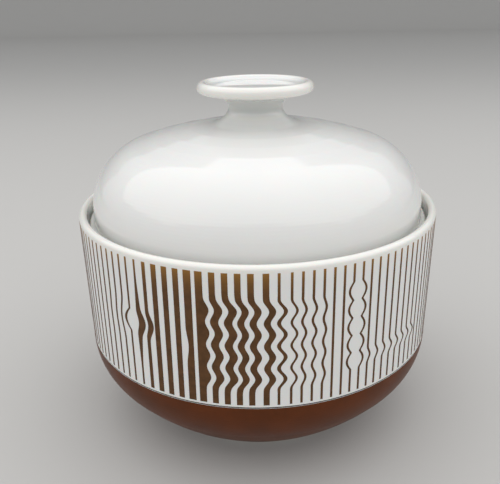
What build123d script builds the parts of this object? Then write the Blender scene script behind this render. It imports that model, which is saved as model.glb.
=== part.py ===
"""Lidded rice bowl in glazed porcelain, modelled piece by piece.

The bowl is a near-cylindrical cup on a turned foot ring. Its upper wall carries a fired print
of fine upright stripes, and its lower belly is coated in dark brown enamel. Inside the rim a
ledge carries a domed lid, and a mushroom knob is luted to the crown of the dome.

Millimetres, +Z up. The origin is the centre of the foot ring, on the table. The front of the
bowl faces -Y, and azimuths are degrees from the front, positive towards +X.
"""

import os
from math import asin, atan2, cos, degrees, pi, radians, sin, sqrt

from build123d import *

os.makedirs("parts", exist_ok=True)

# ---------------------------------------------------------------- driving dimensions: bowl
rim_height = 81.5  # top of the lip above the table
rim_radius = 62.3  # outside of the lip
wall_flare = 0.4  # the wall is this much narrower at its foot, where the enamel starts
rim_wall = 2.6  # wall above the ledge
body_wall = 3.4  # wall below the ledge and round the belly
enamel_line = 35.6  # height at which the enamel stops
enamel_thickness = 0.15
shoulder_radius = 22.0  # the tight turn under the enamel line
shoulder_sweep = 39.0  # degrees turned before the belly takes over
belly_run = 26.4  # from the foot of the wall inwards to where the belly meets the foot ring
foot_batter = 1.5  # the foot ring is this much narrower on the table
foot_height = 2.3
foot_width = 3.2
foot_rounding = 0.6
recess_depth = 2.6  # underside of the floor above the table
floor_thickness = 4.2
floor_rounding = 14.0

# the ledge inside the rim that the lid sits on
ledge_depth = 6.0  # below the top of the lip
ledge_width = 3.3
ledge_height = 3.0  # upright face of the ledge
ledge_taper = 9.0  # height over which the ledge runs back into the wall
ledge_rounding = 0.6

# the fine turned line that parts the white glaze from the enamel
groove_width = 0.5
groove_depth = 0.35

# ---------------------------------------------------------------- driving dimensions: lid
lid_clearance = 0.8  # play between the lid's flange and the rim wall
flange_thickness = 2.2
flange_rounding = 0.6
dome_gap = 2.3  # open groove between the dome and the rim wall
dome_wall = 3.2
dome_rise = 27.6  # crown of the dome above the top of the lip
dome_shoulder_radius = 22.0

# the mushroom knob, measured down from its top, which stands this far above the crown
knob_rise = 13.1
knob_radius = 19.8
knob_lip_radius = 1.9
knob_dish_depth = 1.7
knob_root_radius = 11.8  # where the underside of the knob meets the neck
knob_root_drop = 5.2
neck_radius = 9.3  # narrowest part of the neck
neck_drop = 8.6
flare_radius = 16.2  # where the flare of the neck runs out on the dome
luting_rise = 1.6  # plane above the crown where the knob is joined to the dome

# ---------------------------------------------------------------- driving dimensions: print
print_thickness = 0.1
top_margin = 2.0  # white between the top of the lip and the stripes
bottom_margin = 0.7  # white between the groove and the stripes
repeats = 3  # the same run of stripes comes three times round the bowl
first_azimuth = -37.8  # the loop, at the top of the stripes
bar_pitch = 3.27  # degrees from one broad stripe to the next
bar_gap = 0.55  # degrees more before the last two broad stripes
foot_spread = 1.35  # sideways shift of the foot of a stripe a quarter turn from the middle
spread_middle = 4.0  # azimuth at which the stripes stand upright
line_width = 0.74
bar_width = 1.8

# waves: a stripe swings out to its crests and comes back to its troughs between them
wave_foot = 5.3  # from the foot of the stripes to the first wave
wave_head = 8.0  # from the last wave to the top of the stripes
wave_count = 4
run_out = 1.5  # waves over which a waved bar eases back to its own line
edge_crest = 1.55
edge_trough = 0.4
edge_bar_extra = 0.4  # the bar with the waved edge is this much broader on its left
# crest, trough and extra width of each waved bar, from left to right
bar_waves = ((1.6, 0.35, 0.6), (2.1, 0.75, 0.6), (2.0, 0.7, 0.2), (1.95, 0.55, 0.2), (1.8, 0.3, 0.15))
thick_line_width = 0.8
thick_line_crest = 1.9
thick_line_growth = 0.35
# crest and trough of the thin waved lines, which die away from line to line
line_waves = ((1.55, 0.0), (1.05, -0.1), (0.95, -0.15), (0.8, 0.0))

# the chain of beads between two lines
bead_foot = 8.0
bead_head = 5.7
bead_count = 5
bead_swing = 1.3

# lines with one small kink, which grows from line to line
kink_count = 8
kink_height = 11.2
kink_length = 6.0
kink_swing = 0.9
kink_growth = 0.12

# the eye: a loop in one line, and a bulge in the two stripes beside it
eye_drop = 20.6  # middle of the eye below the top of the stripes
loop_length = 7.6
loop_swing = 2.0
loop_growth = 0.3
echo_length = 16.0
echo_swings = (0.3, 0.45, 1.0)  # the last plain lines before the loop bend a little with it
bulge_length = 11.0
eye_line_spread = 0.8
eye_line_spread_length = 34.0
eye_line_bulge = 1.6
eye_bar_width = 1.3
eye_bar_bulge = 1.6
bulge_hollow = 0.8  # the left edges of the two stripes follow the bulge this far
hollow_length = 9.0
notch_drop = 24.2  # middle of the notch below the top of the stripes
notch_length = 13.0
notch_depth = 0.65
notched_bar_width = 2.3

# ---------------------------------------------------------------- worked-out values: bowl
waist_radius = rim_radius - wall_flare
foot_root_radius = waist_radius - belly_run
foot_radius = foot_root_radius - foot_batter
lip_radius = rim_wall / 2
lip_centre = (rim_radius - lip_radius, rim_height - lip_radius)
rim_inner_radius = rim_radius - rim_wall
ledge_level = rim_height - ledge_depth
ledge_inner_radius = rim_inner_radius - ledge_width
wall_inner_radius = waist_radius - body_wall
floor_level = recess_depth + floor_thickness
groove_top = enamel_line + groove_width
print_bottom = groove_top + bottom_margin
print_height = rim_height - top_margin - print_bottom
wave_length = (print_height - wave_foot - wave_head) / wave_count
bead_length = (print_height - bead_foot - bead_head) / bead_count
eye_height = print_height - eye_drop
notch_height = print_height - notch_drop


def wall_radius(height):
    """Outside radius of the slightly flared wall at a height."""
    share = (height - enamel_line) / (lip_centre[1] - enamel_line)
    return waist_radius + (rim_radius - waist_radius) * share


def on_circle(centre, radius, angle):
    """Point of a circle in the section plane, at an angle in degrees."""
    return (centre[0] + radius * cos(radians(angle)), centre[1] + radius * sin(radians(angle)))


# The shoulder turns in from the upright wall. The belly leaves it on a tangent and ends at
# the foot ring, which settles the belly's radius and centre.
shoulder_centre = (waist_radius - shoulder_radius, enamel_line)
shoulder_end = on_circle(shoulder_centre, shoulder_radius, -shoulder_sweep)
inward = (-cos(radians(shoulder_sweep)), sin(radians(shoulder_sweep)))
chord = (foot_root_radius - shoulder_end[0], foot_height - shoulder_end[1])
belly_radius = (chord[0] ** 2 + chord[1] ** 2) / (2 * (chord[0] * inward[0] + chord[1] * inward[1]))
belly_centre = (
    shoulder_end[0] + belly_radius * inward[0],
    shoulder_end[1] + belly_radius * inward[1],
)
foot_angle = degrees(atan2(foot_height - belly_centre[1], foot_root_radius - belly_centre[0]))
inner_belly_radius = belly_radius - body_wall
floor_angle = -degrees(asin((belly_centre[1] - floor_level) / inner_belly_radius))
floor_corner = on_circle(belly_centre, inner_belly_radius, floor_angle)


def belly_outline(growth, end_angle):
    """Shoulder and belly arcs, moved out by growth, down to an angle on the belly."""
    CenterArc(shoulder_centre, shoulder_radius + growth, 0, -shoulder_sweep)
    CenterArc(belly_centre, belly_radius + growth, -shoulder_sweep, end_angle + shoulder_sweep)


# ---------------------------------------------------------------- bowl body
with BuildPart() as bowl_body:
    with BuildSketch(Plane.XZ) as bowl_section:
        with BuildLine():
            belly_outline(0, foot_angle)
            Polyline(
                (waist_radius, enamel_line),
                (waist_radius - groove_depth, enamel_line),
                (waist_radius - groove_depth, groove_top),
                (wall_radius(groove_top), groove_top),
                (rim_radius, lip_centre[1]),
            )
            CenterArc(lip_centre, lip_radius, 0, 180)
            FilletPolyline(
                (rim_inner_radius, lip_centre[1]),
                (rim_inner_radius, ledge_level),
                (ledge_inner_radius, ledge_level),
                (ledge_inner_radius, ledge_level - ledge_height),
                (wall_inner_radius, ledge_level - ledge_height - ledge_taper),
                (wall_inner_radius, enamel_line),
                radius=ledge_rounding,
            )
            belly_outline(-body_wall, floor_angle)
            Polyline(floor_corner, (0, floor_level), (0, recess_depth))
            FilletPolyline(
                (0, recess_depth),
                (foot_radius - foot_width, recess_depth),
                (foot_radius - foot_width, 0),
                (foot_radius, 0),
                (foot_root_radius, foot_height),
                radius=foot_rounding,
            )
        make_face()
        fillet(bowl_section.vertices().sort_by_distance(floor_corner)[0], floor_rounding)
    revolve(axis=Axis.Z)
bowl_body.part.label = "bowl_body"
export_step(bowl_body.part, "parts/bowl_body.step")

# ---------------------------------------------------------------- brown enamel on the belly
with BuildPart() as belly_enamel:
    with BuildSketch(Plane.XZ):
        with BuildLine():
            belly_outline(0, foot_angle)
            belly_outline(enamel_thickness, foot_angle)
            Line((waist_radius, enamel_line), (waist_radius + enamel_thickness, enamel_line))
            Line(
                on_circle(belly_centre, belly_radius, foot_angle),
                on_circle(belly_centre, belly_radius + enamel_thickness, foot_angle),
            )
        make_face()
    revolve(axis=Axis.Z)
belly_enamel.part.label = "belly_enamel"
export_step(belly_enamel.part, "parts/belly_enamel.step")

# ---------------------------------------------------------------- section of the lid
# Dome: an upright wall, a shoulder arc, and a crown arc centred on the axis and tangent to it.
dome_radius = rim_inner_radius - dome_gap
flange_radius = rim_inner_radius - lid_clearance
flange_corner = min(flange_rounding, 0.4 * (flange_radius - dome_radius), 0.4 * flange_thickness)
crown_level = rim_height + dome_rise
dome_shoulder = (dome_radius - dome_shoulder_radius, rim_height)
crown_radius = (dome_shoulder[0] ** 2 + dome_rise**2 - dome_shoulder_radius**2) / (
    2 * (dome_rise - dome_shoulder_radius)
)
crown_centre = (0, crown_level - crown_radius)
crown_angle = degrees(atan2(dome_shoulder[1] - crown_centre[1], dome_shoulder[0]))

# Knob: levels are measured down from its top.
knob_top = crown_level + knob_rise
knob_lip = (knob_radius - knob_lip_radius, knob_top - knob_lip_radius)
lip_under_angle = -70
lip_over_angle = 140
dish_level = knob_top - knob_dish_depth
knob_root = (knob_root_radius, knob_top - knob_root_drop)
neck_waist = (neck_radius, knob_top - neck_drop)
luting_level = crown_level + luting_rise

# Flare: leaves the neck upright and lands tangent on the crown.
flare_angle = 90 - degrees(asin(flare_radius / crown_radius))
flare_foot = on_circle(crown_centre, crown_radius, flare_angle)
flare_corner = (
    neck_radius,
    flare_foot[1] + (flare_radius - neck_radius) / sqrt((crown_radius / flare_radius) ** 2 - 1),
)
fullness = 0.55  # makes the flare close to a quarter of an ellipse


def between(start, end, share):
    """Point a share of the way from start to end."""
    return (start[0] + (end[0] - start[0]) * share, start[1] + (end[1] - start[1]) * share)


with BuildSketch(Plane.XZ) as lid_section:
    with BuildLine():
        FilletPolyline(
            (dome_radius - dome_wall, rim_height),
            (dome_radius - dome_wall, ledge_level),
            (flange_radius, ledge_level),
            (flange_radius, ledge_level + flange_thickness),
            (dome_radius, ledge_level + flange_thickness),
            (dome_radius, rim_height),
            radius=flange_corner,
        )
        CenterArc(dome_shoulder, dome_shoulder_radius, 0, crown_angle)
        CenterArc(crown_centre, crown_radius, crown_angle, flare_angle - crown_angle)
        Bezier(
            flare_foot,
            between(flare_foot, flare_corner, fullness),
            between(neck_waist, flare_corner, fullness),
            neck_waist,
        )
        Bezier(neck_waist, between(neck_waist, (neck_radius, knob_root[1]), fullness), knob_root)
        Line(knob_root, on_circle(knob_lip, knob_lip_radius, lip_under_angle))
        CenterArc(knob_lip, knob_lip_radius, lip_under_angle, lip_over_angle - lip_under_angle)
        dish_edge = on_circle(knob_lip, knob_lip_radius, lip_over_angle)
        Bezier(
            dish_edge,
            on_circle(dish_edge, knob_lip_radius, lip_over_angle + 90),
            between((0, dish_level), (knob_lip[0], dish_level), fullness),
            (0, dish_level),
        )
        Line((0, dish_level), (0, crown_level - dome_wall))
        CenterArc(crown_centre, crown_radius - dome_wall, 90, crown_angle - 90)
        CenterArc(dome_shoulder, dome_shoulder_radius - dome_wall, crown_angle, -crown_angle)
    make_face()

# ---------------------------------------------------------------- lid dome and knob
with BuildPart() as lid_dome:
    add(lid_section.sketch)
    revolve(axis=Axis.Z)
    split(bisect_by=Plane.XY.offset(luting_level), keep=Keep.BOTTOM)
lid_dome.part.label = "lid_dome"
export_step(lid_dome.part, "parts/lid_dome.step")

with BuildPart() as lid_knob:
    add(lid_section.sketch)
    revolve(axis=Axis.Z)
    split(bisect_by=Plane.XY.offset(luting_level), keep=Keep.TOP)
lid_knob.part.label = "lid_knob"
export_step(lid_knob.part, "parts/lid_knob.step")

# ---------------------------------------------------------------- the fired print
# Each stripe is cut from a thin layer on the wall by a short radial prism. The rule for a
# stripe gives its left and right edge, sideways from its azimuth, at a height above its foot.
prism_depth = 4.0
samples_per_wave = 6

with BuildPart() as print_layer:
    with BuildSketch(Plane.XZ):
        with BuildLine():
            Polyline(
                (wall_radius(print_bottom), print_bottom),
                (wall_radius(print_bottom) + print_thickness, print_bottom),
                (wall_radius(print_bottom + print_height) + print_thickness,
                 print_bottom + print_height),
                (wall_radius(print_bottom + print_height), print_bottom + print_height),
                close=True,
            )
        make_face()
    revolve(axis=Axis.Z)


def swell(height, middle, length):
    """Smooth rise from 0 to 1 and back, centred on middle and as long as length."""
    distance = abs(height - middle) / (length / 2)
    return 0 if distance >= 1 else (1 + cos(pi * distance)) / 2


def waves(height):
    """Row of equal crests, 0 between them and 1 at their tops."""
    crests = [wave_foot + wave_length * (number + 0.5) for number in range(wave_count)]
    return sum(swell(height, crest, wave_length) for crest in crests)


def plateau(height):
    """1 from the first crest to the last, easing out to 0 beyond them."""
    first = wave_foot + wave_length / 2
    last = print_height - wave_head - wave_length / 2
    nearest = min(max(height, first), last)
    return swell(height, nearest, run_out * wave_length)


def arches(height, foot, length, count):
    """Row of round arches that meet in cusps."""
    place = (height - foot) / length
    return abs(sin(pi * place)) if 0 < place < count else 0


def even(centre, width=line_width, growth=lambda height: 0):
    """Edges of a stripe whose centre wanders with height and whose width may grow."""
    return lambda height: (centre(height) - (width + growth(height)) / 2,
                           centre(height) + (width + growth(height)) / 2)


def waved(crest, trough, width=line_width, growth=0.0):
    """Edges of a waved stripe, which is broader by growth along its waves."""
    return even(lambda height: trough * plateau(height) + (crest - trough) * waves(height),
                width, lambda height: growth * plateau(height))


def edge_bar(height):
    """Edges of a bar whose right edge alone is waved."""
    wave = edge_trough * plateau(height) + (edge_crest - edge_trough) * waves(height)
    return (-bar_width / 2 - edge_bar_extra, bar_width / 2 + wave)


def notched_bar(height):
    """Edges of a bar with a long shallow bite in its left edge."""
    bite = notch_depth * swell(height, notch_height, notch_length)
    return (bite - notched_bar_width / 2, notched_bar_width / 2)


def eye_line(height):
    """Edges of the line beside the loop, which spreads and bulges to the right."""
    spread = eye_line_spread * swell(height, eye_height, eye_line_spread_length)
    hollow = bulge_hollow * swell(height, eye_height, hollow_length)
    bulge = eye_line_bulge * swell(height, eye_height, bulge_length)
    return (hollow - (line_width + spread) / 2, bulge + line_width / 2 + spread)


def eye_bar(height):
    """Edges of the bar beside the eye line, which bulges with it."""
    hollow = bulge_hollow * swell(height, eye_height, hollow_length)
    bulge = eye_bar_bulge * swell(height, eye_height, bulge_length)
    return (hollow - eye_bar_width / 2, bulge + eye_bar_width / 2)


def loop_centre(height):
    """Centre of the line that makes the loop."""
    return -loop_swing * arches(height, eye_height - loop_length / 2, loop_length, 1)


def bead_centre(side):
    """Centre of one side of the chain of beads: -1 is the left side, 1 the right."""
    return lambda height: side * bead_swing * arches(height, bead_foot, bead_length, bead_count)


def kinked_line(number):
    """Edges of a thin line with one small kink, deeper on each next line."""
    swing = kink_swing + kink_growth * number
    return even(lambda height: swing * swell(height, kink_height, kink_length))


def echo_line(swing):
    """Edges of a thin line that bends a little with the loop beside it."""
    return even(lambda height: -swing * swell(height, eye_height, echo_length))


def stripe_solid(azimuth, edges, stops):
    """One stripe of the print. Stops are the heights where its edges may turn sharply."""
    outward = (sin(radians(azimuth)), -cos(radians(azimuth)), 0)
    along = (cos(radians(azimuth)), sin(radians(azimuth)), 0)
    start = (waist_radius - prism_depth / 2) * Vector(*outward) + Vector(0, 0, print_bottom)
    foot_shift = foot_spread * sin(radians(azimuth - spread_middle))

    def edge_point(side, height):
        return (edges(height)[side] + foot_shift * (1 - height / print_height), height)

    with BuildPart() as stripe:
        with BuildSketch(Plane(origin=start, x_dir=along, z_dir=outward)):
            with BuildLine():
                for side in (0, 1):
                    for low, high in zip(stops, stops[1:]):
                        count = max(3, round((high - low) / wave_length * samples_per_wave))
                        if edges in straight_edges:
                            count = 1
                        heights = [low + (high - low) * step / count for step in range(count + 1)]
                        Spline(*[edge_point(side, height) for height in heights])
                Line(edge_point(0, 0), edge_point(1, 0))
                Line(edge_point(0, print_height), edge_point(1, print_height))
            make_face()
        extrude(amount=prism_depth)
        add(print_layer.part, mode=Mode.INTERSECT)
    return stripe.part


plain_line = even(lambda height: 0)
plain_bar = even(lambda height: 0, bar_width)
loop_line = even(loop_centre, line_width,
                 lambda height: loop_growth * swell(height, eye_height, loop_length))
straight_edges = (plain_line, plain_bar)
full_height = (0, print_height)
loop_stops = (0, eye_height - loop_length / 2, eye_height + loop_length / 2, print_height)
bead_stops = (0, *[bead_foot + bead_length * number for number in range(bead_count + 1)],
              print_height)

# the run of stripes, from left to right: the node it belongs to, its edges and its stops
broad_stripes = [
    ("print_eye", loop_line, loop_stops),
    ("print_eye", eye_line, full_height),
    ("print_eye", eye_bar, full_height),
    *[("print_bars", plain_bar, full_height)] * 3,
    ("print_bars", notched_bar, full_height),
    ("print_bars", edge_bar, full_height),
    *[("print_waved_bars", waved(crest, trough, bar_width, growth), full_height)
      for crest, trough, growth in bar_waves],
    ("print_waved_lines", waved(thick_line_crest, 0, thick_line_width, thick_line_growth),
     full_height),
]
fine_stripes = [
    *[("print_waved_lines", waved(crest, trough), full_height) for crest, trough in line_waves],
    *[("print_plain_lines", plain_line, full_height)] * 2,
    ("print_bead_chain", even(bead_centre(-1)), bead_stops),
    ("print_bead_chain", even(bead_centre(1)), bead_stops),
    *[("print_kinked_lines", kinked_line(number), full_height) for number in range(kink_count)],
    *[("print_plain_lines", plain_line, full_height)] * 7,
    *[("print_plain_lines", echo_line(swing), full_height) for swing in echo_swings],
]
run_angle = 360 / repeats
fine_pitch = (run_angle - bar_gap - bar_pitch * len(broad_stripes)) / len(fine_stripes)
azimuths = [first_azimuth + bar_pitch * number for number in range(len(broad_stripes))]
azimuths[-2] += bar_gap
azimuths[-1] += bar_gap
azimuths += [azimuths[-1] + bar_pitch + fine_pitch * number for number in range(len(fine_stripes))]

print_nodes = {}
for number in range(repeats):
    for azimuth, (node, edges, stops) in zip(azimuths, broad_stripes + fine_stripes):
        stripe = stripe_solid(azimuth + run_angle * number, edges, stops)
        print_nodes.setdefault(node, []).append(stripe)

for node, stripes in print_nodes.items():
    with BuildPart() as print_node:
        add(stripes)
    print_node.part.label = node
    export_step(print_node.part, f"parts/{node}.step")
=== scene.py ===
# %% [markdown]
# # A lidded rice bowl in glazed porcelain
#
# This lesson builds the looks of a covered rice bowl around a finished CAD frame. The frame
# fixes every size and every joint. What is left to do here is what the eye judges: clean
# turned surfaces, a crisp fired print, a satin enamel and a clear glossy glaze.
#
# The real bowl was shaped on a wheel, so nearly every surface is a body of revolution. The
# honest way to model it is a lathe: draw the section once, then spin it round the axis.

# %% Load the frame
from math import asin, atan2, ceil, cos, degrees, hypot, pi, radians, sin, sqrt

import bpy
from mathutils import Matrix, Vector


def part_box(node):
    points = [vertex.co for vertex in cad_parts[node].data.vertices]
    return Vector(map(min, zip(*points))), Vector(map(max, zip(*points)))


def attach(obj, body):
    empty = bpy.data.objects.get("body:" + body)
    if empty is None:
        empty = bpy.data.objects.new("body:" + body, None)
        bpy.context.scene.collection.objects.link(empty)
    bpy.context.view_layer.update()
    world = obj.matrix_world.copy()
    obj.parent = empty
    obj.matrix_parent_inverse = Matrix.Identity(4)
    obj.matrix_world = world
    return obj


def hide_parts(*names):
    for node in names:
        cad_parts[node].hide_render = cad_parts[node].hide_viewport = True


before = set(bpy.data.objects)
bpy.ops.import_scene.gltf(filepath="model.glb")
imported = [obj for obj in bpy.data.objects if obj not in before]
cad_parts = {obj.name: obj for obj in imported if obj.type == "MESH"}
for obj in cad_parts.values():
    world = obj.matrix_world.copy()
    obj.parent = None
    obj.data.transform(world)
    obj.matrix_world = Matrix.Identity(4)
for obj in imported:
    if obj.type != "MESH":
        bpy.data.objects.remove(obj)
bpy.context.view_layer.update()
MM = 0.001  # one millimetre in Blender's metres

# %% [markdown]
# ## Two helpers for every finish
#
# Colours are written as sRGB hex values, as read off a colour card. Cycles works in linear
# light, so one function turns hex to linear. The second function adds a node with its
# settings and its links, which keeps each material short enough to read in one go.

# %% Colour and node helpers
def linear(hex_colour):
    """Linear RGBA of an sRGB hex colour."""
    values = [int(hex_colour[place:place + 2], 16) / 255 for place in (1, 3, 5)]
    return [value / 12.92 if value <= 0.04045 else ((value + 0.055) / 1.055) ** 2.4
            for value in values] + [1.0]


def add_node(tree, kind, settings=None, links=None):
    """Add a node, set its attributes or sockets, and link named sockets to outputs."""
    node = tree.nodes.new(kind)
    for name, value in (settings or {}).items():
        if isinstance(name, str) and hasattr(node, name):
            setattr(node, name, value)
        else:
            node.inputs[name].default_value = value
    for name, output in (links or {}).items():
        tree.links.new(output, node.inputs[name])
    return node


def new_material(name):
    """An empty node material with its output, and the tree to build it in."""
    material = bpy.data.materials.new(name)
    material.use_nodes = True
    material.node_tree.nodes.clear()
    return material, material.node_tree


print("card white in linear light:", [round(value, 3) for value in linear("#E1E2DE")])

# %% [markdown]
# ## How a turned section is drawn
#
# A potter's section is made of a few arcs and straight runs. Here a section is a list of
# points, each a radius and a height in millimetres, from the axis below to the axis above.
# Arcs are cut finely, because a glossy glaze shows every facet in its reflections. Long
# straight runs get a guard point near each end: smooth shading then stays flat along the
# run and turns only where the clay turns.

# %% Arcs, soft corners and guard points
ARC_TURN = 3.0    # degrees between the points of an arc
GUARD_GAP = 0.25  # mm from the end of a long run to its guard point
LONGEST_RUN = 4.0  # mm between points on a straight run


def arc(centre, radius, start, end):
    """Points of a circle in the section, between two angles in degrees."""
    count = max(2, ceil(abs(end - start) / ARC_TURN))
    angles = [radians(start + (end - start) * step / count) for step in range(count + 1)]
    return [(centre[0] + radius * cos(angle), centre[1] + radius * sin(angle))
            for angle in angles]


def curve(*handles, steps=18):
    """Points of a cubic Bezier curve in the section."""
    shares = [step / steps for step in range(steps + 1)]
    weights = [((1 - t) ** 3, 3 * t * (1 - t) ** 2, 3 * t * t * (1 - t), t ** 3) for t in shares]
    return [tuple(sum(weight * handle[axis] for weight, handle in zip(row, handles))
                  for axis in (0, 1)) for row in weights]


def soft_corners(corners, radius, steps=5):
    """A path through corners, with the inner ones rounded over."""
    path = [corners[0]]
    for before, corner, after in zip(corners, corners[1:], corners[2:]):
        arriving = (Vector(corner) - Vector(before)).normalized()
        leaving = (Vector(after) - Vector(corner)).normalized()
        reach = radius * sin(arriving.angle(leaving)) / (1 + cos(arriving.angle(leaving)))
        first = Vector(corner) - arriving * reach
        last = Vector(corner) + leaving * reach
        path += [tuple(first * (1 - t) ** 2 + Vector(corner) * 2 * t * (1 - t) + last * t * t)
                 for t in [step / steps for step in range(steps + 1)]]
    return path + [corners[-1]]


def guarded(points):
    """The same path with guard points near the ends of long runs, and long runs divided."""
    result = [points[0]]
    for start, end in zip(points, points[1:]):
        length = hypot(end[0] - start[0], end[1] - start[1])
        if length < 1e-4:
            continue
        if length > 4 * GUARD_GAP:
            shares = [GUARD_GAP / length]
            count = ceil(length / LONGEST_RUN)
            shares += [step / count for step in range(1, count)]
            shares += [1 - GUARD_GAP / length]
            result += [(start[0] + (end[0] - start[0]) * share,
                        start[1] + (end[1] - start[1]) * share) for share in shares]
        result.append(end)
    return result


print("a quarter turn takes", len(arc((0, 0), 1, 0, 90)), "points")

# %% [markdown]
# ## The lathe
#
# Spinning the section gives rings of vertices with quads between them, and one vertex where
# the section meets the axis. A clear glaze is thicker in hollows and thinner over edges
# while it melts, which shows as a faint tint. The lathe measures how hollow the section is
# at each point and stores it on the mesh, so that the glaze material can use it.

# %% Spin a section into a closed mesh
SIDES = 288          # facets round the axis
SHARP_ANGLE = 35     # degrees; a harder turn than this is a real edge
POOL_REACH = 2.5     # mm along the section over which a hollow is felt


def hollowness(points):
    """How much the section turns inwards around each point, from -1 on a lip to 1 in a hollow."""
    turns = [0.0]
    for before, here, after in zip(points, points[1:], points[2:]):
        arriving = Vector(here) - Vector(before)
        leaving = Vector(after) - Vector(here)
        turns.append(atan2(arriving.cross(leaving), arriving.dot(leaving)))
    turns.append(0.0)
    felt = []
    for here in points:
        total = sum(turn * max(0, 1 - hypot(here[0] - there[0], here[1] - there[1]) / POOL_REACH)
                    for there, turn in zip(points, turns))
        felt.append(max(-1.0, min(1.0, -total)))
    return felt


def lathe(name, section):
    """One closed, smooth-shaded object from a section given in mm."""
    points = guarded(section)
    is_loop = points[0][0] > MM
    if is_loop:
        points = points[:-1]
    vertices, rings, hollows = [], [], []
    for (radius, height), hollow in zip(points, hollowness(points)):
        first = len(vertices)
        count = SIDES if radius > MM else 1
        angles = [2 * pi * side / SIDES for side in range(count)]
        vertices += [(radius * cos(angle) * MM, radius * sin(angle) * MM, height * MM)
                     for angle in angles]
        hollows += [hollow] * count
        rings.append([first + side % count for side in range(SIDES)])
    if is_loop:
        rings.append(rings[0])
    faces = []
    for low, high in zip(rings, rings[1:]):
        for side in range(SIDES):
            near = (side + 1) % SIDES
            faces.append(tuple(dict.fromkeys((low[side], low[near], high[near], high[side]))))
    mesh = bpy.data.meshes.new(name)
    mesh.from_pydata(vertices, [], faces)
    mesh.shade_smooth()
    mesh.set_sharp_from_angle(angle=radians(SHARP_ANGLE))
    attribute = mesh.attributes.new("hollow", "FLOAT", "POINT")
    attribute.data.foreach_set("value", hollows)
    piece = bpy.data.objects.new(name, mesh)
    bpy.context.scene.collection.objects.link(piece)
    return piece


def report(piece, node):
    """Print how far a piece's box is from the box of the CAD node it stands for, in mm."""
    low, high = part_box(node)
    corners = [piece.matrix_world @ Vector(corner) for corner in piece.bound_box]
    gaps = [round((min(c[axis] for c in corners) - low[axis]) / MM, 2) for axis in range(3)]
    gaps += [round((high[axis] - max(c[axis] for c in corners)) / MM, 2) for axis in range(3)]
    print(f"{piece.name}: {len(piece.data.polygons)} faces, inside {node} by {gaps} mm")


def hand_over(piece, node, body):
    """Let a piece stand for a CAD node: ride on its body, hide the node and report its box."""
    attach(piece, body)
    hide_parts(node)
    report(piece, node)


print("facet of the widest ring:", round(2 * pi * 62.3 / SIDES, 2), "mm")

# %% [markdown]
# ## Porcelain under a clear glaze
#
# Hard porcelain is a dense white body under a transparent glaze. The eye gets a soft white
# from the body and, on top of it, a mirror-like reflection from the glaze. That is exactly
# a Principled shader with a coat. Three things keep it from looking like plastic: a faint
# cloudiness of the white, glaze that is slightly green where it pools and creamy where it
# thins over a lip, and a very shallow waviness of the glaze that bends reflections.

# %% Glazed porcelain
GLAZE_IOR = 1.52
WAVE_SIZE = 14.0   # mm, the slow undulation of a melted glaze
WAVE_HEIGHT = 0.012  # mm
CLOUD_SIZE = 22.0  # mm


def glazed_porcelain():
    """White body, clear glossy coat, pooled glaze in the hollows."""
    material, tree = new_material("hard porcelain, clear glaze")
    place = add_node(tree, "ShaderNodeTexCoord").outputs["Object"]
    clouds = add_node(tree, "ShaderNodeTexNoise",
                      {"Scale": 1 / (CLOUD_SIZE * MM), "Detail": 3.0}, {"Vector": place})
    white = add_node(tree, "ShaderNodeMix", {"data_type": "RGBA", 6: linear("#E4E3E0"),
                                             7: linear("#DFDEDC")},
                     {0: clouds.outputs["Fac"]})
    hollow = add_node(tree, "ShaderNodeAttribute", {"attribute_name": "hollow"})
    pooled = add_node(tree, "ShaderNodeMapRange", {"To Max": 0.75},
                      {"Value": hollow.outputs["Fac"]})
    green = add_node(tree, "ShaderNodeMix", {"data_type": "RGBA", 7: linear("#CDD1CB")},
                     {0: pooled.outputs["Result"], 6: white.outputs[2]})
    thinned = add_node(tree, "ShaderNodeMapRange", {"From Min": 0.0, "From Max": -1.0,
                                                    "To Max": 0.8},
                       {"Value": hollow.outputs["Fac"]})
    cream = add_node(tree, "ShaderNodeMix", {"data_type": "RGBA", 7: linear("#EAE8E1")},
                     {0: thinned.outputs["Result"], 6: green.outputs[2]})
    swells = add_node(tree, "ShaderNodeTexNoise",
                      {"Scale": 1 / (WAVE_SIZE * MM), "Detail": 1.5}, {"Vector": place})
    waves = add_node(tree, "ShaderNodeBump", {"Strength": 1.0, "Distance": WAVE_HEIGHT * MM},
                     {"Height": swells.outputs["Fac"]})
    shader = add_node(tree, "ShaderNodeBsdfPrincipled",
                      {"Roughness": 0.4, "IOR": GLAZE_IOR, "Coat Weight": 1.0,
                       "Coat Roughness": 0.05, "Coat IOR": GLAZE_IOR,
                       "Subsurface Weight": 0.12, "Subsurface Scale": 1.5 * MM},
                      {"Base Color": cream.outputs[2], "Normal": waves.outputs["Normal"],
                       "Coat Normal": waves.outputs["Normal"]})
    add_node(tree, "ShaderNodeOutputMaterial", links={"Surface": shader.outputs["BSDF"]})
    return material


porcelain = glazed_porcelain()
print("made:", porcelain.name)

# %% [markdown]
# ## The bowl's own sizes
#
# These are the same sizes as in the CAD source, in millimetres. Levels are above the table
# and radii are from the axis. The wall opens slightly towards the lip, the belly turns in
# below the enamel line on a tight shoulder and then a large arc, and a ledge inside the rim
# carries the lid.

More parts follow.
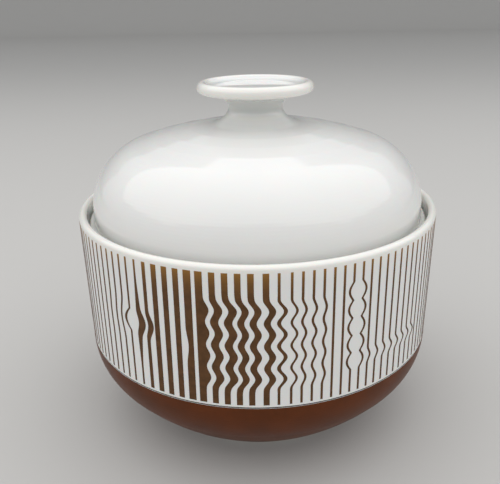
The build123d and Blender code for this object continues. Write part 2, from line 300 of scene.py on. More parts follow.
# %% Sizes of the bowl
RIM_HEIGHT, RIM_RADIUS, RIM_WALL = 81.5, 62.3, 2.6
WAIST_RADIUS, BODY_WALL, ENAMEL_LINE = 61.9, 3.4, 35.6
GROOVE_WIDTH, GROOVE_DEPTH = 0.5, 0.35
SHOULDER_RADIUS, SHOULDER_SWEEP = 22.0, 39.0
FOOT_ROOT_RADIUS, FOOT_RADIUS, FOOT_HEIGHT, FOOT_WIDTH = 35.5, 34.0, 2.3, 3.2
RECESS_DEPTH, FLOOR_THICKNESS = 2.6, 4.2
LEDGE_LEVEL, LEDGE_WIDTH, LEDGE_HEIGHT, LEDGE_TAPER = 75.5, 3.3, 3.0, 9.0
FOOT_ROUNDING, GROOVE_ROUNDING, LEDGE_ROUNDING = 0.6, 0.12, 0.6
FLOOR_TURN_RISE, FLOOR_TURN_RUN = 1.6, 9.0  # where the inside wall runs out on the floor

lip_radius = RIM_WALL / 2
lip_centre = (RIM_RADIUS - lip_radius, RIM_HEIGHT - lip_radius)
rim_inner = RIM_RADIUS - RIM_WALL
wall_inner = WAIST_RADIUS - BODY_WALL
ledge_inner = rim_inner - LEDGE_WIDTH
floor_level = RECESS_DEPTH + FLOOR_THICKNESS
groove_top = ENAMEL_LINE + GROOVE_WIDTH


def wall_radius(height):
    """Outside radius of the slightly flared wall."""
    share = (height - ENAMEL_LINE) / (lip_centre[1] - ENAMEL_LINE)
    return WAIST_RADIUS + (RIM_RADIUS - WAIST_RADIUS) * share


# The belly arc leaves the shoulder arc on a tangent and ends at the foot ring.
shoulder = (WAIST_RADIUS - SHOULDER_RADIUS, ENAMEL_LINE)
shoulder_end = arc(shoulder, SHOULDER_RADIUS, 0, -SHOULDER_SWEEP)[-1]
inward = (-cos(radians(SHOULDER_SWEEP)), sin(radians(SHOULDER_SWEEP)))
chord = (FOOT_ROOT_RADIUS - shoulder_end[0], FOOT_HEIGHT - shoulder_end[1])
belly_radius = (chord[0] ** 2 + chord[1] ** 2) / (2 * (chord[0] * inward[0] + chord[1] * inward[1]))
belly = (shoulder_end[0] + belly_radius * inward[0], shoulder_end[1] + belly_radius * inward[1])
foot_angle = degrees(atan2(FOOT_HEIGHT - belly[1], FOOT_ROOT_RADIUS - belly[0]))
floor_angle = -degrees(asin((belly[1] - floor_level) / (belly_radius - BODY_WALL)))
print("belly arc radius:", round(belly_radius, 1), "mm, from", -SHOULDER_SWEEP, "to",
      round(foot_angle, 1), "degrees")

# %% [markdown]
# ## The bowl body
#
# The section runs from the middle of the underside out over the foot ring, up the belly and
# wall, round the lip, down over the ledge and back along the inside. It could be modelled
# with primitives and booleans, but those leave uneven faces that ruin a glossy reflection.

# %% Turn the bowl body
under = soft_corners([(0, RECESS_DEPTH), (FOOT_RADIUS - FOOT_WIDTH, RECESS_DEPTH),
                      (FOOT_RADIUS - FOOT_WIDTH, 0), (FOOT_RADIUS, 0),
                      (FOOT_ROOT_RADIUS, FOOT_HEIGHT)], FOOT_ROUNDING)
outside = (arc(belly, belly_radius, foot_angle, -SHOULDER_SWEEP)[1:]
           + arc(shoulder, SHOULDER_RADIUS, -SHOULDER_SWEEP, 0)[1:])
groove = soft_corners([(WAIST_RADIUS, ENAMEL_LINE), (WAIST_RADIUS - GROOVE_DEPTH, ENAMEL_LINE),
                       (WAIST_RADIUS - GROOVE_DEPTH, groove_top),
                       (wall_radius(groove_top), groove_top)], GROOVE_ROUNDING)[1:]
lip = arc(lip_centre, lip_radius, 0, 180)
ledge = soft_corners([(rim_inner, lip_centre[1]), (rim_inner, LEDGE_LEVEL),
                      (ledge_inner, LEDGE_LEVEL), (ledge_inner, LEDGE_LEVEL - LEDGE_HEIGHT),
                      (wall_inner, LEDGE_LEVEL - LEDGE_HEIGHT - LEDGE_TAPER),
                      (wall_inner, ENAMEL_LINE)], LEDGE_ROUNDING)[1:]
inside = (arc(shoulder, SHOULDER_RADIUS - BODY_WALL, 0, -SHOULDER_SWEEP)[1:]
          + arc(belly, belly_radius - BODY_WALL, -SHOULDER_SWEEP, floor_angle)[1:])
corner = inside[-1]
inside = [point for point in inside if point[1] > floor_level + FLOOR_TURN_RISE]
inside += curve(inside[-1], corner, corner, (corner[0] - FLOOR_TURN_RUN, floor_level))[1:]
bowl = lathe("bowl_porcelain", under + outside + groove + lip + ledge + inside
             + [(0, floor_level)])
bowl.data.materials.append(porcelain)
hand_over(bowl, "bowl_body", "bowl")

# %% [markdown]
# ## The bare foot ring and the dark dividing line
#
# The foot ring stands on the kiln shelf, so its glaze is wiped off before firing and the
# biscuit below shows: matt, slightly grey and finely grained. Where white meets brown, the
# faces of a fine turned groove are coloured dark grey-brown. Both are bands of the same
# surface, so they are faces of the bowl with a second and third material.

# %% Biscuit and dividing line
GRAIN_SIZE = 0.45  # mm; real biscuit grain is finer, but would not show
GRAIN_DEPTH = 0.05  # mm
LINE_MOTTLE = 2.0  # mm, uneven strength of the dark line
BARE_HEIGHT = 0.55  # mm, height of the bare band of the foot ring
BARE_REACH = 0.5  # mm, how far the bare band may reach beyond the foot ring
BAND_SLACK = 0.1  # mm by which a band reaches past its own faces


def biscuit():
    """Unglazed fired porcelain, dry and finely grained."""
    material, tree = new_material("unglazed porcelain biscuit")
    place = add_node(tree, "ShaderNodeTexCoord").outputs["Object"]
    grain = add_node(tree, "ShaderNodeTexNoise", {"Scale": 1 / (GRAIN_SIZE * MM), "Detail": 4.0},
                     {"Vector": place})
    tone = add_node(tree, "ShaderNodeMix", {"data_type": "RGBA", 6: linear("#D9D2C4"),
                                            7: linear("#C4BBAC")}, {0: grain.outputs["Fac"]})
    bump = add_node(tree, "ShaderNodeBump", {"Distance": GRAIN_DEPTH * MM},
                    {"Height": grain.outputs["Fac"]})
    shader = add_node(tree, "ShaderNodeBsdfPrincipled", {"Roughness": 0.85},
                      {"Base Color": tone.outputs[2], "Normal": bump.outputs["Normal"]})
    add_node(tree, "ShaderNodeOutputMaterial", links={"Surface": shader.outputs["BSDF"]})
    return material


def dividing_line():
    """Dark grey-brown for the faces of the groove, uneven along it."""
    material, tree = new_material("dark groove line colour")
    place = add_node(tree, "ShaderNodeTexCoord").outputs["Object"]
    uneven = add_node(tree, "ShaderNodeTexNoise", {"Scale": 1 / (LINE_MOTTLE * MM), "Detail": 2.0},
                      {"Vector": place})
    tone = add_node(tree, "ShaderNodeMix", {"data_type": "RGBA", 6: linear("#3A2C25"),
                                            7: linear("#54463D")}, {0: uneven.outputs["Fac"]})
    shader = add_node(tree, "ShaderNodeBsdfPrincipled", {"Roughness": 0.5},
                      {"Base Color": tone.outputs[2]})
    add_node(tree, "ShaderNodeOutputMaterial", links={"Surface": shader.outputs["BSDF"]})
    return material


def paint_band(piece, material, low, high, inner, outer):
    """Give a material to the faces of a piece between two heights and two radii, in mm."""
    piece.data.materials.append(material)
    painted = 0
    for face in piece.data.polygons:
        middle = face.center / MM
        radius = hypot(middle.x, middle.y)
        if low < middle.z < high and inner < radius < outer:
            face.material_index = len(piece.data.materials) - 1
            painted += 1
    print(f"{material.name}: {painted} faces of {piece.name}")


paint_band(bowl, biscuit(), -BAND_SLACK, BARE_HEIGHT, FOOT_RADIUS - FOOT_WIDTH - BAND_SLACK,
           FOOT_RADIUS + BARE_REACH)
paint_band(bowl, dividing_line(), ENAMEL_LINE, groove_top,
           WAIST_RADIUS - GROOVE_DEPTH - BAND_SLACK, WAIST_RADIUS - BAND_SLACK)

# %% [markdown]
# ## Brown enamel on the belly
#
# The belly was dipped or sprayed with an iron-brown enamel and fired once more. It is satin
# rather than glossy, a little redder where it is thin, and faintly mottled. It is a real
# coat with a rolled upper edge, so it gets its own thin closed mesh over the porcelain.

# %% Turn and colour the enamel coat
COAT = 0.12          # mm
MOTTLE_SIZE = 1.6    # mm
BREAK_SIZE = 9.0     # mm, broad patches where the coat is thinner
MOTTLE_DEPTH = 0.02  # mm
# The usual specular level is 0.5. This lower one is chosen: it keeps the pale floor
# from greying the brown, and is not a property of enamel.
ENAMEL_SPECULAR = 0.15


def iron_enamel():
    """Satin iron-brown enamel with a fine mottle."""
    material, tree = new_material("satin iron-brown enamel")
    place = add_node(tree, "ShaderNodeTexCoord").outputs["Object"]
    mottle = add_node(tree, "ShaderNodeTexNoise", {"Scale": 1 / (MOTTLE_SIZE * MM),
                                                   "Detail": 6.0, "Roughness": 0.6},
                      {"Vector": place})
    patches = add_node(tree, "ShaderNodeTexNoise", {"Scale": 1 / (BREAK_SIZE * MM)},
                       {"Vector": place})
    amount = add_node(tree, "ShaderNodeMath", {"operation": "MULTIPLY_ADD", 1: 0.5},
                      {0: mottle.outputs["Fac"]})
    tree.links.new(patches.outputs["Fac"], amount.inputs[2])
    spread = add_node(tree, "ShaderNodeMapRange", {"From Min": 0.45, "From Max": 1.05},
                      {"Value": amount.outputs["Value"]})
    tone = add_node(tree, "ShaderNodeMix", {"data_type": "RGBA", 6: linear("#4E2508"),
                                            7: linear("#5F2D0B")}, {0: spread.outputs["Result"]})
    gloss = add_node(tree, "ShaderNodeMapRange", {"To Min": 0.34, "To Max": 0.46},
                     {"Value": mottle.outputs["Fac"]})
    bump = add_node(tree, "ShaderNodeBump", {"Strength": 0.6, "Distance": MOTTLE_DEPTH * MM},
                    {"Height": mottle.outputs["Fac"]})
    shader = add_node(tree, "ShaderNodeBsdfPrincipled", {"IOR": GLAZE_IOR,
                                                         "Specular IOR Level": ENAMEL_SPECULAR},
                      {"Base Color": tone.outputs[2], "Roughness": gloss.outputs["Result"],
                       "Normal": bump.outputs["Normal"]})
    add_node(tree, "ShaderNodeOutputMaterial", links={"Surface": shader.outputs["BSDF"]})
    return material


outer = arc(belly, belly_radius + COAT, foot_angle, -SHOULDER_SWEEP)
outer += arc(shoulder, SHOULDER_RADIUS + COAT, -SHOULDER_SWEEP, -COAT * 2)[1:]
rolled = arc((WAIST_RADIUS, ENAMEL_LINE - COAT), COAT, 15, 90)
inner = (arc(shoulder, SHOULDER_RADIUS, 0, -SHOULDER_SWEEP)[1:]
         + arc(belly, belly_radius, -SHOULDER_SWEEP, foot_angle)[1:])
coat = lathe("belly_enamel_coat", outer + rolled + inner + [outer[0]])
coat.data.materials.append(iron_enamel())
hand_over(coat, "belly_enamel", "bowl")

# %% [markdown]
# ## The lid
#
# The dome rises from a flange on the ledge, turns over a shoulder and closes in a shallow
# crown. The mushroom knob was turned apart and luted on with slip, so the two are separate
# pieces that meet on a level plane inside the flare of the neck. Their sections share the
# flare curve, so the glaze runs over the joint without a break.

# %% Sizes of the lid and knob
LID_CLEARANCE, FLANGE_THICKNESS, DOME_GAP, DOME_WALL, DOME_RISE = 0.8, 2.2, 2.3, 3.2, 27.6
DOME_SHOULDER_RADIUS = 22.0
KNOB_RISE, KNOB_RADIUS, KNOB_LIP_RADIUS, KNOB_DISH_DEPTH = 13.1, 19.8, 1.9, 1.7
KNOB_ROOT_RADIUS, KNOB_ROOT_DROP, NECK_RADIUS, NECK_DROP = 11.8, 5.2, 9.3, 8.6
FLARE_RADIUS, LUTING_RISE, FULLNESS = 16.2, 1.6, 0.55
FLANGE_ROUNDING = 0.5
LIP_UNDER_ANGLE, LIP_OVER_ANGLE = -70, 140  # degrees where the knob's round lip ends

dome_radius = rim_inner - DOME_GAP
flange_radius = rim_inner - LID_CLEARANCE
crown_level = RIM_HEIGHT + DOME_RISE
dome_shoulder = (dome_radius - DOME_SHOULDER_RADIUS, RIM_HEIGHT)
crown_radius = ((dome_shoulder[0] ** 2 + DOME_RISE ** 2 - DOME_SHOULDER_RADIUS ** 2)
                / (2 * (DOME_RISE - DOME_SHOULDER_RADIUS)))
crown = (0, crown_level - crown_radius)
crown_angle = degrees(atan2(dome_shoulder[1] - crown[1], dome_shoulder[0]))
knob_top = crown_level + KNOB_RISE
knob_lip = (KNOB_RADIUS - KNOB_LIP_RADIUS, knob_top - KNOB_LIP_RADIUS)
dish_level = knob_top - KNOB_DISH_DEPTH
knob_root = (KNOB_ROOT_RADIUS, knob_top - KNOB_ROOT_DROP)
neck_waist = (NECK_RADIUS, knob_top - NECK_DROP)
luting_level = crown_level + LUTING_RISE
flare_angle = 90 - degrees(asin(FLARE_RADIUS / crown_radius))
flare_foot = arc(crown, crown_radius, crown_angle, flare_angle)[-1]
flare_corner = (NECK_RADIUS, flare_foot[1] + (FLARE_RADIUS - NECK_RADIUS)
                / sqrt((crown_radius / FLARE_RADIUS) ** 2 - 1))


def between(start, end, share):
    """Point a share of the way from start to end."""
    return tuple(a + (b - a) * share for a, b in zip(start, end))


print("crown arc radius:", round(crown_radius, 1), "mm; knob top at", round(knob_top, 1), "mm")

# %% Turn the dome and the knob
flare = curve(flare_foot, between(flare_foot, flare_corner, FULLNESS),
              between(neck_waist, flare_corner, FULLNESS), neck_waist, steps=36)
above = next(place for place, point in enumerate(flare) if point[1] > luting_level)
low, high = flare[above - 1], flare[above]
seam = between(low, high, (luting_level - low[1]) / (high[1] - low[1]))
lid_rim = soft_corners([(dome_radius - DOME_WALL, RIM_HEIGHT),
                        (dome_radius - DOME_WALL, LEDGE_LEVEL), (flange_radius, LEDGE_LEVEL),
                        (flange_radius, LEDGE_LEVEL + FLANGE_THICKNESS),
                        (dome_radius, LEDGE_LEVEL + FLANGE_THICKNESS),
                        (dome_radius, RIM_HEIGHT)], FLANGE_ROUNDING)
under_dome = (arc(crown, crown_radius - DOME_WALL, 90, crown_angle)
              + arc(dome_shoulder, DOME_SHOULDER_RADIUS - DOME_WALL, crown_angle, 0)[1:])
over_dome = (arc(dome_shoulder, DOME_SHOULDER_RADIUS, 0, crown_angle)[1:]
             + arc(crown, crown_radius, crown_angle, flare_angle)[1:])
dome = lathe("lid_dome_porcelain", under_dome + lid_rim[1:] + over_dome + flare[1:above]
             + [seam, (0, luting_level)])

neck = curve(neck_waist, between(neck_waist, (NECK_RADIUS, knob_root[1]), FULLNESS),
             knob_root, knob_root)
knob_edge = arc(knob_lip, KNOB_LIP_RADIUS, LIP_UNDER_ANGLE, LIP_OVER_ANGLE)
dish_edge = knob_edge[-1]
dish_lead = (dish_edge[0] + KNOB_LIP_RADIUS * cos(radians(LIP_OVER_ANGLE + 90)),
             dish_edge[1] + KNOB_LIP_RADIUS * sin(radians(LIP_OVER_ANGLE + 90)))
dish = curve(dish_edge, dish_lead, (knob_lip[0] * (1 - FULLNESS), dish_level), (0, dish_level))
knob = lathe("lid_knob_porcelain", [(0, luting_level), seam] + flare[above:] + neck[1:]
             + knob_edge + dish[1:])
for piece, node in ((dome, "lid_dome"), (knob, "lid_knob")):
    piece.data.materials.append(porcelain)
    hand_over(piece, node, "lid")

# %% [markdown]
# ## The fired print
#
# The stripes are printed on a transfer, laid on the glazed wall and fired. Each is a film of
# bronze-brown lustre a few hundredths of a millimetre thick. A texture would blur at the
# edges, so every stripe is a thin strip of real geometry that follows the wall. A stripe is
# drawn by a rule: where its left and right edges stand at each height above the foot.

# %% Sizes of the print, in mm and degrees
TOP_MARGIN, BOTTOM_MARGIN, REPEATS = 2.0, 0.7, 3
FIRST_AZIMUTH, BAR_PITCH, BAR_GAP = -37.8, 3.27, 0.55
FOOT_SPREAD, SPREAD_MIDDLE = 1.35, 4.0
LINE_WIDTH, BAR_WIDTH = 0.74, 1.8
WAVE_FOOT, WAVE_HEAD, WAVE_COUNT, RUN_OUT = 5.3, 8.0, 4, 1.5
BEAD_FOOT, BEAD_HEAD, BEAD_COUNT, BEAD_SWING = 8.0, 5.7, 5, 1.3
KINK_COUNT, KINK_HEIGHT, KINK_LENGTH, KINK_SWING, KINK_GROWTH = 8, 11.2, 6.0, 0.9, 0.12
EYE_DROP, LOOP_LENGTH, LOOP_SWING, LOOP_GROWTH = 20.6, 7.6, 2.0, 0.3
ECHO_LENGTH, ECHO_SWINGS = 16.0, (0.3, 0.45, 1.0)
BULGE, BULGE_LENGTH, HOLLOW, HOLLOW_LENGTH = 1.6, 11.0, 0.8, 9.0
EYE_SPREAD, EYE_SPREAD_LENGTH, EYE_BAR_WIDTH = 0.8, 34.0, 1.3
NOTCH_DROP, NOTCH_LENGTH, NOTCH_DEPTH = 24.2, 13.0, 0.65
NOTCHED_BAR_WIDTH = 2.3
EDGE_CREST, EDGE_TROUGH, EDGE_BAR_EXTRA = 1.55, 0.4, 0.4
THICK_LINE_WIDTH, THICK_LINE_CREST, THICK_LINE_GROWTH = 0.8, 1.9, 0.35
# crest, trough and extra width of each waved bar, then crest and trough of each waved line
BAR_WAVES = ((1.6, 0.35, 0.6), (2.1, 0.75, 0.6), (2.0, 0.7, 0.2), (1.95, 0.55, 0.2),
             (1.8, 0.3, 0.15))
LINE_WAVES = ((1.55, 0.0), (1.05, -0.1), (0.95, -0.15), (0.8, 0.0))

print_bottom = groove_top + BOTTOM_MARGIN
print_height = RIM_HEIGHT - TOP_MARGIN - print_bottom
wave_length = (print_height - WAVE_FOOT - WAVE_HEAD) / WAVE_COUNT
bead_length = (print_height - BEAD_FOOT - BEAD_HEAD) / BEAD_COUNT
eye_height = print_height - EYE_DROP
print("stripes are", round(print_height, 1), "mm high; a wave is", round(wave_length, 2), "mm")

# %% Rules for a wandering edge
def swell(height, middle, length):
    """Smooth rise from 0 to 1 and back, centred on middle and as long as length."""
    distance = abs(height - middle) / (length / 2)
    return 0 if distance >= 1 else (1 + cos(pi * distance)) / 2


def waves(height):
    """Row of equal crests, 0 between them and 1 at their tops."""
    crests = [WAVE_FOOT + wave_length * (number + 0.5) for number in range(WAVE_COUNT)]
    return sum(swell(height, crest, wave_length) for crest in crests)


def plateau(height):
    """1 from the first crest to the last, easing out to 0 beyond them."""
    first = WAVE_FOOT + wave_length / 2
    last = print_height - WAVE_HEAD - wave_length / 2
    return swell(height, min(max(height, first), last), RUN_OUT * wave_length)


def arches(height, foot, length, count):
    """Row of round arches that meet in cusps."""
    place = (height - foot) / length
    return abs(sin(pi * place)) if 0 < place < count else 0


def even(centre, width=LINE_WIDTH, growth=lambda height: 0):
    """Edges of a stripe whose centre wanders with height and whose width may grow."""
    return lambda height: (centre(height) - (width + growth(height)) / 2,
                           centre(height) + (width + growth(height)) / 2)


def waved(crest, trough, width=LINE_WIDTH, growth=0.0):
    """Edges of a waved stripe, which is broader by growth along its waves."""
    return even(lambda height: trough * plateau(height) + (crest - trough) * waves(height),
                width, lambda height: growth * plateau(height))


# %% The special stripes
def edge_bar(height):
    """A bar whose right edge alone is waved."""
    wave = EDGE_TROUGH * plateau(height) + (EDGE_CREST - EDGE_TROUGH) * waves(height)
    return -BAR_WIDTH / 2 - EDGE_BAR_EXTRA, BAR_WIDTH / 2 + wave


def notched_bar(height):
    """A bar with a long shallow bite in its left edge."""
    bite = NOTCH_DEPTH * swell(height, print_height - NOTCH_DROP, NOTCH_LENGTH)
    return bite - NOTCHED_BAR_WIDTH / 2, NOTCHED_BAR_WIDTH / 2


def eye_line(height):
    """The line beside the loop, which spreads and bulges to the right."""
    spread = EYE_SPREAD * swell(height, eye_height, EYE_SPREAD_LENGTH)
    hollow = HOLLOW * swell(height, eye_height, HOLLOW_LENGTH)
    bulge = BULGE * swell(height, eye_height, BULGE_LENGTH)
    return hollow - (LINE_WIDTH + spread) / 2, bulge + LINE_WIDTH / 2 + spread


def eye_bar(height):
    """The bar beside the eye line, which bulges with it."""
    hollow = HOLLOW * swell(height, eye_height, HOLLOW_LENGTH)
    bulge = BULGE * swell(height, eye_height, BULGE_LENGTH)
    return hollow - EYE_BAR_WIDTH / 2, bulge + EYE_BAR_WIDTH / 2


def loop_centre(height):
    """Centre of the line that makes the loop."""
    return -LOOP_SWING * arches(height, eye_height - LOOP_LENGTH / 2, LOOP_LENGTH, 1)


def bead_line(side):
    """One side of the chain of beads: -1 is the left side, 1 the right."""
    return even(lambda height: side * BEAD_SWING * arches(height, BEAD_FOOT, bead_length,
                                                          BEAD_COUNT))


def kinked_line(number):
    """A thin line with one small kink, deeper on each next line."""
    swing = KINK_SWING + KINK_GROWTH * number
    return even(lambda height: swing * swell(height, KINK_HEIGHT, KINK_LENGTH))


def echo_line(swing):
    """A thin line that bends a little with the loop beside it."""
    return even(lambda height: -swing * swell(height, eye_height, ECHO_LENGTH))


plain = even(lambda height: 0)
loop_line = even(loop_centre, LINE_WIDTH,
                 lambda height: LOOP_GROWTH * swell(height, eye_height, LOOP_LENGTH))
print("edges of the eye line at the eye:", [round(x, 2) for x in eye_line(eye_height)])

# %% The run of stripes, from left to right
thick_line = waved(THICK_LINE_CREST, 0.0, THICK_LINE_WIDTH, THICK_LINE_GROWTH)
broad_run = ([("print_eye", loop_line), ("print_eye", eye_line), ("print_eye", eye_bar)]
             + [("print_bars", even(lambda height: 0, BAR_WIDTH))] * 3
             + [("print_bars", notched_bar), ("print_bars", edge_bar)]
             + [("print_waved_bars", waved(crest, trough, BAR_WIDTH, growth))
                for crest, trough, growth in BAR_WAVES]
             + [("print_waved_lines", thick_line)])
fine_run = ([("print_waved_lines", waved(crest, trough)) for crest, trough in LINE_WAVES]
            + [("print_plain_lines", plain)] * 2
            + [("print_bead_chain", bead_line(-1)), ("print_bead_chain", bead_line(1))]
            + [("print_kinked_lines", kinked_line(number)) for number in range(KINK_COUNT)]
            + [("print_plain_lines", plain)] * 7
            + [("print_plain_lines", echo_line(swing)) for swing in ECHO_SWINGS])
run_angle = 360 / REPEATS
fine_pitch = (run_angle - BAR_GAP - BAR_PITCH * len(broad_run)) / len(fine_run)
azimuths = [FIRST_AZIMUTH + BAR_PITCH * number for number in range(len(broad_run))]
azimuths[-2] += BAR_GAP
azimuths[-1] += BAR_GAP
azimuths += [azimuths[-1] + BAR_PITCH + fine_pitch * number for number in range(len(fine_run))]
print(len(azimuths), "stripes in a run of", run_angle, "degrees; fine pitch",
      round(fine_pitch, 2), "degrees")

# %% [markdown]
# ## Strips that follow the wall
#
# The cross-section of a fired film is flat with soft edges, so each strip has a full
# thickness in the middle and a lower step along its sides. Its back is sunk a little into
# the glaze, as a fired film is, and this also leaves no gap under it.

# %% Build the strips
FILM = 0.06       # mm, film above the glaze
SUNK = 0.03       # mm, film below the surface of the glaze
SOFT_EDGE = 0.05  # mm, width of the soft edge
ROW_HEIGHT = 0.35  # mm between rows of a strip
FILM_SHARP_ANGLE = 20  # degrees; a harder turn than this is an edge of the film


def on_wall(azimuth, offset, height, lift):
    """Point in metres on the wall, offset sideways from a stripe's azimuth in degrees."""
    radius = wall_radius(height) + lift
    angle = radians(azimuth) + offset / radius
    return (radius * sin(angle) * MM, -radius * cos(angle) * MM, height * MM)


def strip(azimuth, edges):
    """Vertices and faces of one closed strip."""
    rows = round(print_height / ROW_HEIGHT)
    heights = [0, SOFT_EDGE] + [print_height * row / rows for row in range(1, rows)]
    heights += [print_height - SOFT_EDGE, print_height]
    foot_shift = FOOT_SPREAD * sin(radians(azimuth - SPREAD_MIDDLE))
    vertices = []
    for height in heights:
        is_end = height in (0, print_height)
        top = FILM * 0.5 if is_end else FILM
        shift = foot_shift * (1 - height / print_height)
        left, right = (edge + shift for edge in edges(height))
        outline = [(left, -SUNK), (left, FILM * 0.5), (left + SOFT_EDGE, top),
                   (right - SOFT_EDGE, top), (right, FILM * 0.5), (right, -SUNK)]
        vertices += [on_wall(azimuth, offset, print_bottom + height, lift)
                     for offset, lift in outline]
    size = 6
    faces = [tuple(reversed(range(size)))]
    for row in range(len(heights) - 1):
        low, high = row * size, (row + 1) * size
        for place in range(size):
            near = (place + 1) % size
            faces.append((low + place, low + near, high + near, high + place))
    faces.append(tuple(range(len(vertices) - size, len(vertices))))
    return vertices, [tuple(reversed(face)) for face in faces]


def lay_stripes(node, material):
    """All the stripes of one CAD node as one object."""
    vertices, faces = [], []
    for azimuth, (owner, edges) in zip(azimuths, broad_run + fine_run):
        for repeat in range(REPEATS if owner == node else 0):
            more, more_faces = strip(azimuth + run_angle * repeat, edges)
            faces += [tuple(len(vertices) + place for place in face) for face in more_faces]
            vertices += more
    mesh = bpy.data.meshes.new(node + "_film")
    mesh.from_pydata(vertices, [], faces)
    mesh.shade_smooth()
    mesh.set_sharp_from_angle(angle=radians(FILM_SHARP_ANGLE))
    mesh.materials.append(material)
    piece = bpy.data.objects.new(node + "_film", mesh)
    bpy.context.scene.collection.objects.link(piece)
    hand_over(piece, node, "bowl")


# %% [markdown]
# ## Bronze-brown lustre
#
# The film is a fired metal-bearing colour: brown in shade, warm and slightly metallic where
# light catches it. It is only half a metal, because ceramic flux binds the metal flakes, so
# it is set between the two. It is matt, and cloudy at the scale of a millimetre or two.

# %% Fired bronze print
LUSTRE_CLOUD = 1.8  # mm
LUSTRE_GRAIN = 0.5  # mm; the real grain is finer, but would not show
PAINTED_GLINT_REACH = 12.0  # mm; within this reach of their tops the stripes are painted lighter and more golden, a painted highlight for the glint of the overhead light
GRAIN_RELIEF = 0.01  # mm
PAINTED_GLINT_RISE = 3.0  # the painted highlight grows slowly at first and quickly near the lip


def bronze_lustre():
    """Matt half-metallic brown film, cloudy and finely grained, with a painted golden highlight
    towards the lip.
    """
    material, tree = new_material("fired bronze-brown lustre")
    place = add_node(tree, "ShaderNodeTexCoord").outputs["Object"]
    clouds = add_node(tree, "ShaderNodeTexNoise", {"Scale": 1 / (LUSTRE_CLOUD * MM),
                                                   "Detail": 4.0}, {"Vector": place})
    grain = add_node(tree, "ShaderNodeTexNoise", {"Scale": 1 / (LUSTRE_GRAIN * MM)},
                     {"Vector": place})
    spread = add_node(tree, "ShaderNodeMapRange", {"From Min": 0.3, "From Max": 0.7},
                      {"Value": clouds.outputs["Fac"]})
    tone = add_node(tree, "ShaderNodeMix", {"data_type": "RGBA", 6: linear("#523619"),
                                            7: linear("#664424")}, {0: spread.outputs["Result"]})
    split = add_node(tree, "ShaderNodeSeparateXYZ", links={0: place})
    # Painted highlight: the colour turns lighter and more golden towards the tops of the stripes,
    # standing in for the glint of the overhead light there.
    top_end = print_bottom + print_height
    glint_share = add_node(tree, "ShaderNodeMapRange",
                    {"From Min": (top_end - PAINTED_GLINT_REACH) * MM, "From Max": top_end * MM},
                    {"Value": split.outputs["Z"]})
    glint_strength = add_node(tree, "ShaderNodeMath", {"operation": "POWER", 1: PAINTED_GLINT_RISE},
                       {0: glint_share.outputs["Result"]})
    painted_glint = add_node(tree, "ShaderNodeMix", {"data_type": "RGBA", 7: linear("#94692F")},
                      {0: glint_strength.outputs["Value"], 6: tone.outputs[2]})
    gloss = add_node(tree, "ShaderNodeMapRange", {"To Min": 0.42, "To Max": 0.58},
                     {"Value": grain.outputs["Fac"]})
    bump = add_node(tree, "ShaderNodeBump", {"Strength": 0.4, "Distance": GRAIN_RELIEF * MM},
                    {"Height": grain.outputs["Fac"]})
    shader = add_node(tree, "ShaderNodeBsdfPrincipled", {"Metallic": 0.5},
                      {"Base Color": painted_glint.outputs[2], "Roughness": gloss.outputs["Result"],
                       "Normal": bump.outputs["Normal"]})
    add_node(tree, "ShaderNodeOutputMaterial", links={"Surface": shader.outputs["BSDF"]})
    return material


lustre = bronze_lustre()
for node in sorted({owner for owner, edges in broad_run + fine_run}):
    lay_stripes(node, lustre)

# %% [markdown]
# ## Floor, light and camera
#
# The floor is a pale sheet that runs far back and sweeps up behind the bowl, so no horizon
# line shows from the front. One very large soft light hangs overhead: its rear edge draws
# the crisp border of the reflection on the dome. An even, pale world fills the sides of the
# dome and the neck of the knob, which the overhead light alone leaves too dark.

# %% Pale studio floor
FLOOR_HALF, SWEEP_START, SWEEP_RADIUS, SWEEP_TOP = 3.5, 2.8, 0.5, 1.6  # metres
SWEEP_STEP = 5  # degrees between the rows of the sweep


def studio_floor():
    """A pale sheet that lies flat and turns up behind the object."""
    profile = [(-FLOOR_HALF, 0.0), (SWEEP_START, 0.0)]
    profile += [(SWEEP_START + SWEEP_RADIUS * sin(radians(angle)),
                 SWEEP_RADIUS * (1 - cos(radians(angle))))
                for angle in range(SWEEP_STEP, 91, SWEEP_STEP)]
    profile.append((SWEEP_START + SWEEP_RADIUS, SWEEP_TOP))
    vertices = [(side * FLOOR_HALF, y, z) for y, z in profile for side in (-1, 1)]
    faces = [(2 * row, 2 * row + 1, 2 * row + 3, 2 * row + 2) for row in range(len(profile) - 1)]
    mesh = bpy.data.meshes.new("studio_floor")
    mesh.from_pydata(vertices, [], faces)
    mesh.shade_smooth()
    material, tree = new_material("pale matt paper")
    shader = add_node(tree, "ShaderNodeBsdfPrincipled", {"Base Color": linear("#BDBBB8"),
                                                         "Roughness": 0.9})
    add_node(tree, "ShaderNodeOutputMaterial", links={"Surface": shader.outputs["BSDF"]})
    mesh.materials.append(material)
    floor = bpy.data.objects.new("studio_floor", mesh)
    bpy.context.scene.collection.objects.link(floor)


studio_floor()

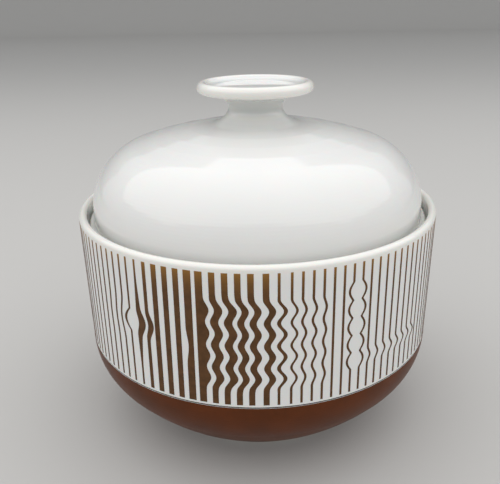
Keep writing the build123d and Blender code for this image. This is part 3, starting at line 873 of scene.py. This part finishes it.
# %% Overhead soft light and pale surroundings
LIGHT_HEIGHT = 0.75  # metres above the table
LIGHT_FRONT, LIGHT_BACK, LIGHT_HALF_WIDTH = -1.25, 0.62, 2.2  # metres
LIGHT_POWER = 21.0  # watts
WORLD_STRENGTH = 1.0

light = bpy.data.lights.new("overhead_soft_light", "AREA")
light.shape = "RECTANGLE"
light.size, light.size_y = 2 * LIGHT_HALF_WIDTH, LIGHT_BACK - LIGHT_FRONT
light.energy = LIGHT_POWER
lamp = bpy.data.objects.new("overhead_soft_light", light)
lamp.location = (0, (LIGHT_FRONT + LIGHT_BACK) / 2, LIGHT_HEIGHT)
bpy.context.scene.collection.objects.link(lamp)
world = bpy.data.worlds.new("even pale room")
world.use_nodes = True
world.node_tree.nodes["Background"].inputs["Color"].default_value = linear("#C9CBCD")
world.node_tree.nodes["Background"].inputs["Strength"].default_value = WORLD_STRENGTH
bpy.context.scene.world = world
bpy.context.scene.view_settings.view_transform = "Standard"

# %% Camera
CAMERA_PLACE = Vector((0.0, -0.20805, 0.1471))
PITCH, YAW, ROLL = radians(21.84), radians(-0.75), radians(-1.06)
FOCAL_LENGTH, SENSOR_WIDTH = 43.37, 36.0  # mm
NEAREST = 0.01  # metres
forward = Vector((sin(YAW) * cos(PITCH), cos(YAW) * cos(PITCH), -sin(PITCH)))
level = forward.cross(Vector((0, 0, 1))).normalized()
upward = level.cross(forward)
right = level * cos(ROLL) + upward * sin(ROLL)
top = upward * cos(ROLL) - level * sin(ROLL)
camera_data = bpy.data.cameras.new("camera")
camera_data.lens = FOCAL_LENGTH
camera_data.sensor_width = SENSOR_WIDTH
camera_data.clip_start = NEAREST
camera = bpy.data.objects.new("camera", camera_data)
camera.matrix_world = Matrix((right, top, -forward)).transposed().to_4x4()
camera.location = CAMERA_PLACE
bpy.context.scene.collection.objects.link(camera)
bpy.context.scene.camera = camera
print("camera looks down", round(degrees(PITCH), 1), "degrees from",
      [round(value, 3) for value in CAMERA_PLACE])

# %% Finish
bpy.context.view_layer.update()
